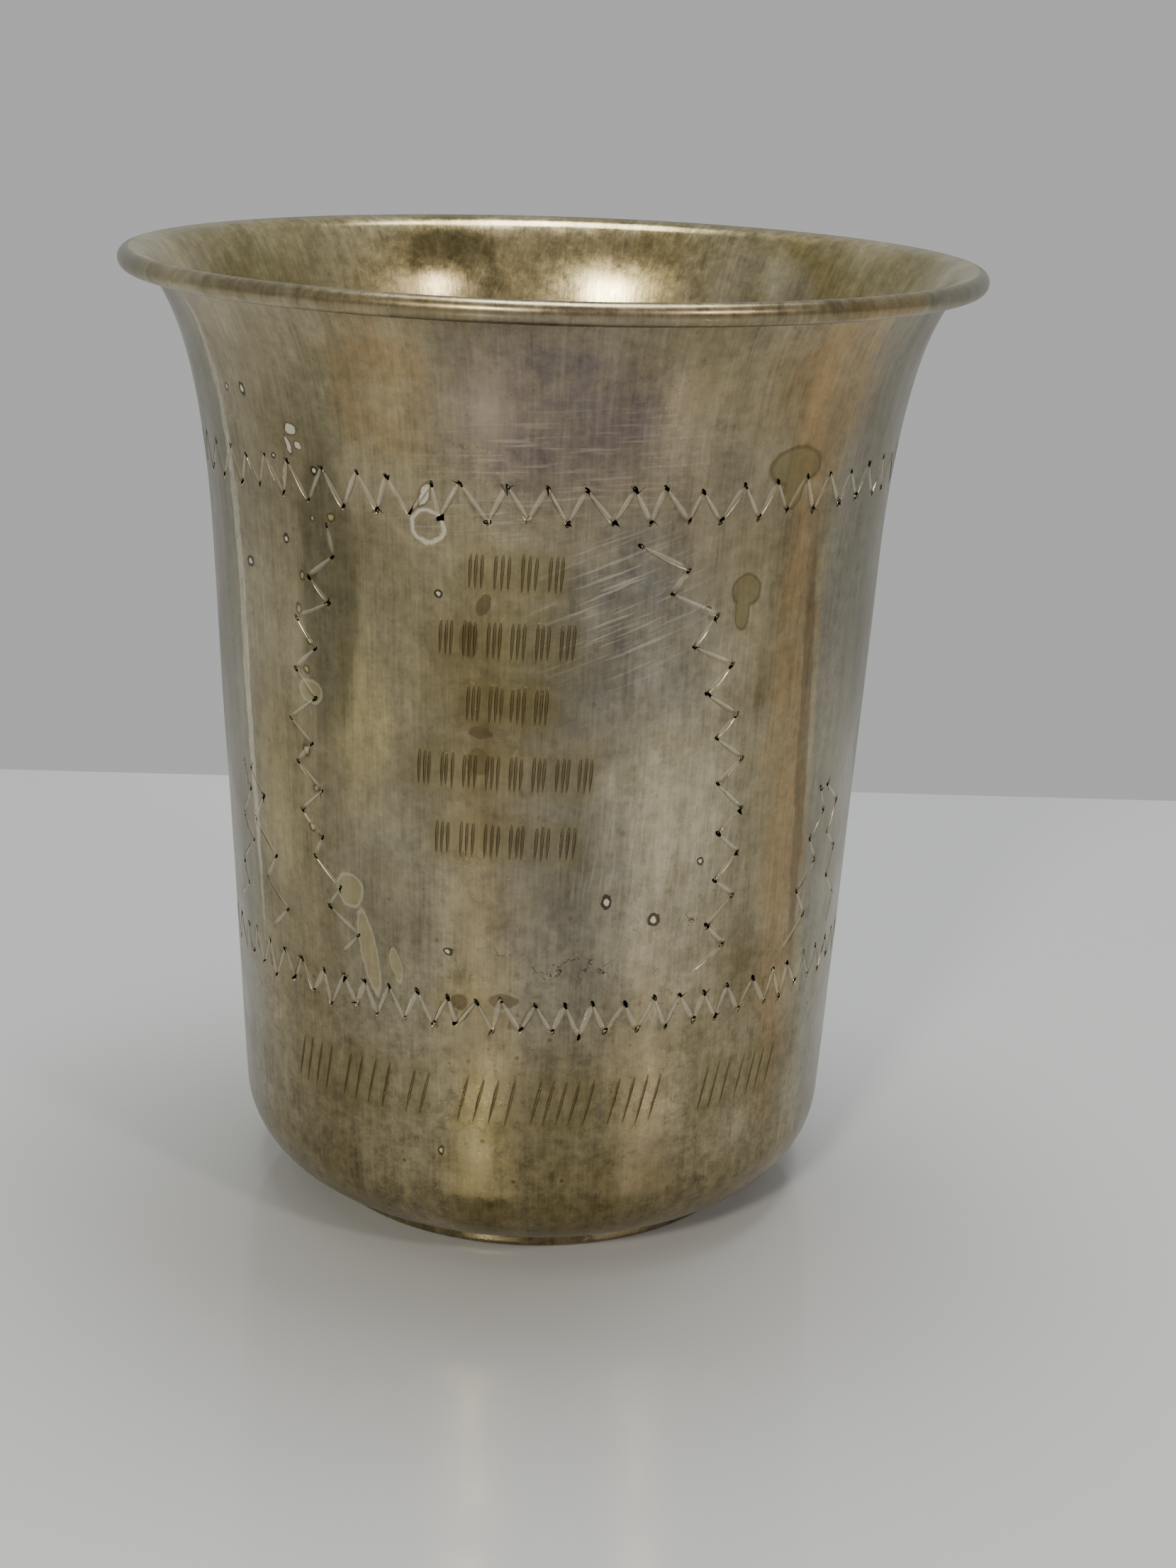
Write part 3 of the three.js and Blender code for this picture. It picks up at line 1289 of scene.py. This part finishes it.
@dataclass
class Studio:
    """The pale floor, the soft light and the camera. Sizes in millimetres."""

    aim: tuple[float, float, float] = (0, 0, 38)
    floor_half: float = 1200.0
    floor_back: float = 100.0
    floor_drop: float = 0.02
    floor_colour: str = "bcbfc1"
    floor_roughness: float = 0.1
    backdrop_colour: str = "b4b6b4"
    room_colour: str = "a39e93"
    room_end: Fade = Fade(-0.45, 0.25)
    world_strength: float = 1.0
    softboxes: tuple[Softbox, ...] = (
        Softbox("key_light", (-290, -790, 545), 110, 110, 4.4, "fff6e4"),
        Softbox("second_light", (583, -603, 545), 90, 90, 2.2, "fff0ea"),
        Softbox("top_light", (40, 120, 900), 500, 400, 7.0),
    )
    camera_place: tuple[float, float, float] = (0, -186.1, 93.27)
    camera_down: float = 18.03
    camera_turn: float = 1.19
    camera_roll: float = 1.92
    lens: float = 54.67

    def floor(self) -> bpy.types.Object:
        """Lay the floor. It ends a little behind the cup, as a shelf does.

        Returns:
            The floor.
        """
        shape = bmesh.new()
        bmesh.ops.create_grid(shape, x_segments=2, y_segments=2, size=self.floor_half * MM)
        back = (self.floor_back - self.floor_half) * MM
        bmesh.ops.translate(shape, verts=shape.verts, vec=(0, back, -self.floor_drop * MM))
        mesh = bpy.data.meshes.new("floor")
        shape.to_mesh(mesh)
        shape.free()
        floor = bpy.data.objects.new("floor", mesh)
        bpy.context.collection.objects.link(floor)
        # Pale acrylic sheet, cast and polished: even, and it mirrors the cup's foot softly.
        material = bpy.data.materials.new("pale acrylic floor")
        material.use_nodes = True
        shader = material.node_tree.nodes["Principled BSDF"]
        shader.inputs["Base Color"].default_value = linear(self.floor_colour)
        shader.inputs["Roughness"].default_value = self.floor_roughness
        mesh.materials.append(material)
        return floor

    def world(self) -> None:
        """Fill the room with soft light: pale behind and above the cup, dimmer in front."""
        world = bpy.data.worlds.new("studio")
        bpy.context.scene.world = world
        world.use_nodes = True
        tree = world.node_tree
        tree.nodes.clear()
        towards = add_node(tree, "TexCoord").outputs["Generated"]
        axes = add_node(tree, "SeparateXYZ", {0: towards})
        ahead = add_node(tree, "MapRange", self.room_end.inputs(axes.outputs[1])).outputs[0]
        walls = {0: ahead, 6: linear(self.room_colour), 7: linear(self.backdrop_colour)}
        colour = add_node(tree, "Mix", walls, data_type="RGBA")
        background = add_node(tree, "Background", {0: colour.outputs[2], 1: self.world_strength})
        add_node(tree, "OutputWorld", {0: background.outputs[0]})

    def light(self, softbox: Softbox) -> None:
        """Hang one softbox.

        Args:
            softbox: The light's place, size and power.
        """
        data = bpy.data.lights.new(softbox.name, "AREA")
        data.shape = "RECTANGLE"
        data.size = softbox.width * MM
        data.size_y = softbox.height * MM
        data.energy = softbox.power
        data.color = linear(softbox.colour)[:3]
        lamp = bpy.data.objects.new(softbox.name, data)
        bpy.context.collection.objects.link(lamp)
        lamp.location = Vector(softbox.place) * MM
        towards = Vector(self.aim) * MM - lamp.location
        lamp.rotation_euler = towards.to_track_quat("-Z", "Y").to_euler()
        lamp.visible_camera = False

    def camera(self) -> None:
        """Set the camera a little above the rim, looking down at the cup."""
        down, turn, roll = (math.radians(a) for a in (self.camera_down, self.camera_turn, self.camera_roll))
        ahead = Vector((math.sin(turn) * math.cos(down), math.cos(turn) * math.cos(down), -math.sin(down)))
        right = Vector((math.cos(turn), -math.sin(turn), 0))
        above = right.cross(ahead)
        tilted_right = right * math.cos(roll) + above * math.sin(roll)
        tilted_above = above * math.cos(roll) - right * math.sin(roll)
        data = bpy.data.cameras.new("camera")
        data.lens = self.lens
        data.sensor_fit = "AUTO"
        data.clip_start = 0.01
        camera = bpy.data.objects.new("camera", data)
        bpy.context.collection.objects.link(camera)
        turned = Matrix((tilted_right, tilted_above, -ahead)).transposed().to_4x4()
        turned.translation = Vector(self.camera_place) * MM
        camera.matrix_world = turned
        bpy.context.scene.camera = camera

    def build(self) -> None:
        """Set up the whole studio."""
        self.floor()
        self.world()
        for softbox in self.softboxes:
            self.light(softbox)
        self.camera()


# Sterling silver, spun and hand engraved, long unpolished: the sulphide film gives it a
# warm grey with brown, olive and violet clouds. Its upright bands of lighter and darker
# tone and the grey strips down its sides are painted reflections of the room.
STERLING = Finish(
    name="tarnished sterling silver",
    facing=Facing.FRONT,
    clean="a59a7d",
    dull="7e7357",
    zones=(
        # Painted reflections of the room: pale grey strips down both sides of the wall.
        Zone(-79, 40, 8.5, 60, Tint.PEWTER, 0.8, edge=Edge.CLEAR),
        Zone(78, 42, 11.6, 60, Tint.PEWTER, 0.8, 4, Edge.CRISP),
        Zone(0, 4, 34, 5, Tint.OLIVE, 0.35),
        Zone(-50, 37, 3, 7, Tint.STRAW, 0.3),
        Zone(-50, 30, 5, 16, Tint.OLIVE, 0.3),
        Zone(-30, 44, 2, 7, Tint.STRAW, 0.5),
        Zone(-36, 53, 2.6, 11, Tint.MOSS, 0.65, edge=Edge.CLEAR),
        Zone(-34, 67, 3, 4, Tint.MOSS, 0.6),
        Zone(-24, 69, 3.5, 5, Tint.TAN, 0.5),
        Zone(-26, 30, 5, 12, Tint.PEWTER, 0.5),
        Zone(0, 68, 7, 6, Tint.VIOLET, 0.75),
        Zone(12, 62, 9, 6, Tint.VIOLET, 0.3),
        Zone(12, 52, 6, 7, Tint.SLATE, 0.7),
        Zone(5, 32, 5, 12, Tint.SLATE, 0.5),
        Zone(-9, 28, 1.9, 20, Tint.BROWN, 0.4),
        Zone(-9, 8, 3, 7, Tint.OLIVE, 0.6),
        Zone(8, 8, 4, 6, Tint.OLIVE, 0.5),
        Zone(22, 38, 5, 14, Tint.BARE, 0.3),
        # Painted reflection: an orange-brown upright band at the right that ends at a sharp line.
        Zone(45, 42, 2.2, 30, Tint.TAN, 0.6, 4),
        Zone(44, 69, 5, 6, Tint.TAN, 0.5),
        # Painted reflection edges: sharp upright lines where the side strips begin, right and left.
        Zone(49.2, 40, 0.7, 18, Tint.BROWN, 0.5, 4, Edge.CLEAR),
        Zone(-59.5, 50, 0.5, 24, Tint.BARE, 0.5, 1, Edge.CLEAR),
        Zone(-6, 49, 7, 3, Tint.OLIVE, 0.35),
        Zone(-5, 55, 5, 2, Tint.OLIVE, 0.35),
        Zone(-14, 24, 2.5, 2, Tint.OLIVE, 0.5),
    ),
    marks=(
        Mark(Spot.BLOT, 39.5, 63.3, 2.3, 1.4),
        Mark(Spot.BLOT, 39.5, 61.7, 0.9, 1.5),
        Mark(Spot.BLOT, 32.4, 54.6, 1.2, 1.2),
        Mark(Spot.BLOT, 31.9, 53.2, 0.6, 1.5),
        Mark(Spot.STAIN, -9.4, 53.9, 0.45, 0.8, -25),
        Mark(Spot.STAIN, -11.6, 51.3, 0.7, 1.3),
        Mark(Spot.STAIN, -9.7, 44.6, 0.8, 0.5),
        Mark(Spot.STAIN, -9.9, 42.4, 0.9, 1.0),
        Mark(Spot.STAIN, -5.4, 23.8, 1.1, 0.6),
        Mark(Spot.STAIN, -13, 23.4, 0.7, 0.6),
        Mark(Spot.STAIN, 25.5, 53.6, 0.3, 0.2),
        Mark(Spot.BARE, -41.4, 64.8, 0.5, 0.4),
        Mark(Spot.BARE, -40.2, 63.7, 0.35, 0.3),
        Mark(Spot.BARE, -42.3, 63.6, 0.2, 0.6, 15),
        Mark(Spot.BARE, -18.4, 61.4, 0.3, 0.8, -20),
        Mark(Spot.RING, -18.0, 59.2, 1.15, 1.15),
        Mark(Spot.WASHED, -29.9, 26.2, 0.75, 3.4, 12),
        Mark(Spot.WASHED, -33.5, 30.8, 1.2, 1.3),
        Mark(Spot.WASHED, -24.5, 25.6, 0.4, 1.4, 15),
        Mark(Spot.WASHED, -40.5, 45.6, 1.1, 0.9),
        Mark(Spot.PIT, 11.3, 31.8, 0.3, 0.48),
        Mark(Spot.PIT, 19.7, 30.1, 0.4, 0.42),
        Mark(Spot.PIT, -55.7, 54.0, 0.35, 0.35),
        Mark(Spot.PIT, -51.8, 67.0, 0.3, 0.35),
        Mark(Spot.PIT, -37.5, 62.0, 0.26, 0.26),
        Mark(Spot.PIT, -46.0, 62.6, 0.2, 0.2),
        Mark(Spot.PIT, -56.6, 66.8, 0.22, 0.22),
        Mark(Spot.PIT, -44.9, 56.6, 0.22, 0.3),
        Mark(Spot.PIT, -15.0, 27.4, 0.24, 0.28),
        Mark(Spot.PIT, -16.4, 54.5, 0.27, 0.27),
        Mark(Spot.PIT, 27.8, 34.3, 0.26, 0.26),
        Mark(Spot.PIT, -16.2, 10.8, 0.2, 0.3),
        Mark(Spot.CRUST, -38.5, 58.6, 0.3, 0.22),
        Mark(Spot.CRUST, -34.6, 58.9, 0.35, 0.3),
        Mark(Spot.CRUST, -41.5, 54.2, 0.3, 0.4),
        Mark(Spot.CRUST, -42.5, 51.6, 0.3, 0.45),
        Mark(Spot.CRUST, -40.2, 49.4, 0.35, 0.3),
        Mark(Spot.CRUST, -41.2, 47.2, 0.4, 0.3),
        Mark(Spot.CRUST, -42.0, 41.0, 0.45, 0.5),
        Mark(Spot.CRUST, -40.0, 38.2, 0.4, 0.35),
        Mark(Spot.CRUST, -41.5, 35.0, 0.35, 0.35),
    ),
    scratches=(
        Scratches(11, 54, 6.5, 6, 22, share=0.45),
        Scratches(2, 64, 11, 4.5, 3, share=0.25),
        Scratches(-12, 59.5, 6, 2.0, 8, share=0.3),
        Scratches(20, 36, 9, 9, 84, share=0.22),
        Scratches(180, 40, 40, 20, -30, share=0.2),
    ),
    crazing=(
        Zone(6.5, 26.4, 3.4, 1.1, Tint.SOOT, 0.8),
        Zone(-7.5, 27.6, 1.2, 0.5, Tint.SOOT, 0.8),
        Zone(1.0, 27.6, 1.0, 0.6, Tint.SOOT, 0.8),
        Zone(26.0, 29.8, 0.9, 0.7, Tint.SOOT, 0.8),
    ),
)

# The inside once had a thin wash of gold: what is left is a yellow cast, worn through to
# grey silver in places.
GILDED = Finish(
    name="worn gilding on silver",
    facing=Facing.BACK,
    clean="cabd97",
    dull="988a5f",
    zones=(
        Zone(-60, 68, 10, 7, Tint.OLIVE, 0.5),
        Zone(-18, 70, 4, 5, Tint.MOSS, 0.7, edge=Edge.CLEAR),
        Zone(24, 68, 6, 5, Tint.OLIVE, 0.4),
        Zone(36, 71, 5, 3, Tint.BARE, 0.5),
        Zone(50, 68, 4, 3, Tint.VIOLET, 0.5),
    ),
    scratches=(Scratches(0, 66, 60, 10, 65, share=0.25),),
    roughness=(0.14, 0.32),
)


def main() -> None:
    """Build the cup and its studio."""
    logging.basicConfig(level=logging.INFO, format="%(name)s: %(message)s")
    top = CAD_BOX[1]
    section = Section(height=top.z / MM, rim_radius=top.x / MM)
    Cup(section, Engraving(section), STERLING, GILDED).build()
    Studio().build()


if __name__ == "__main__":
    main()
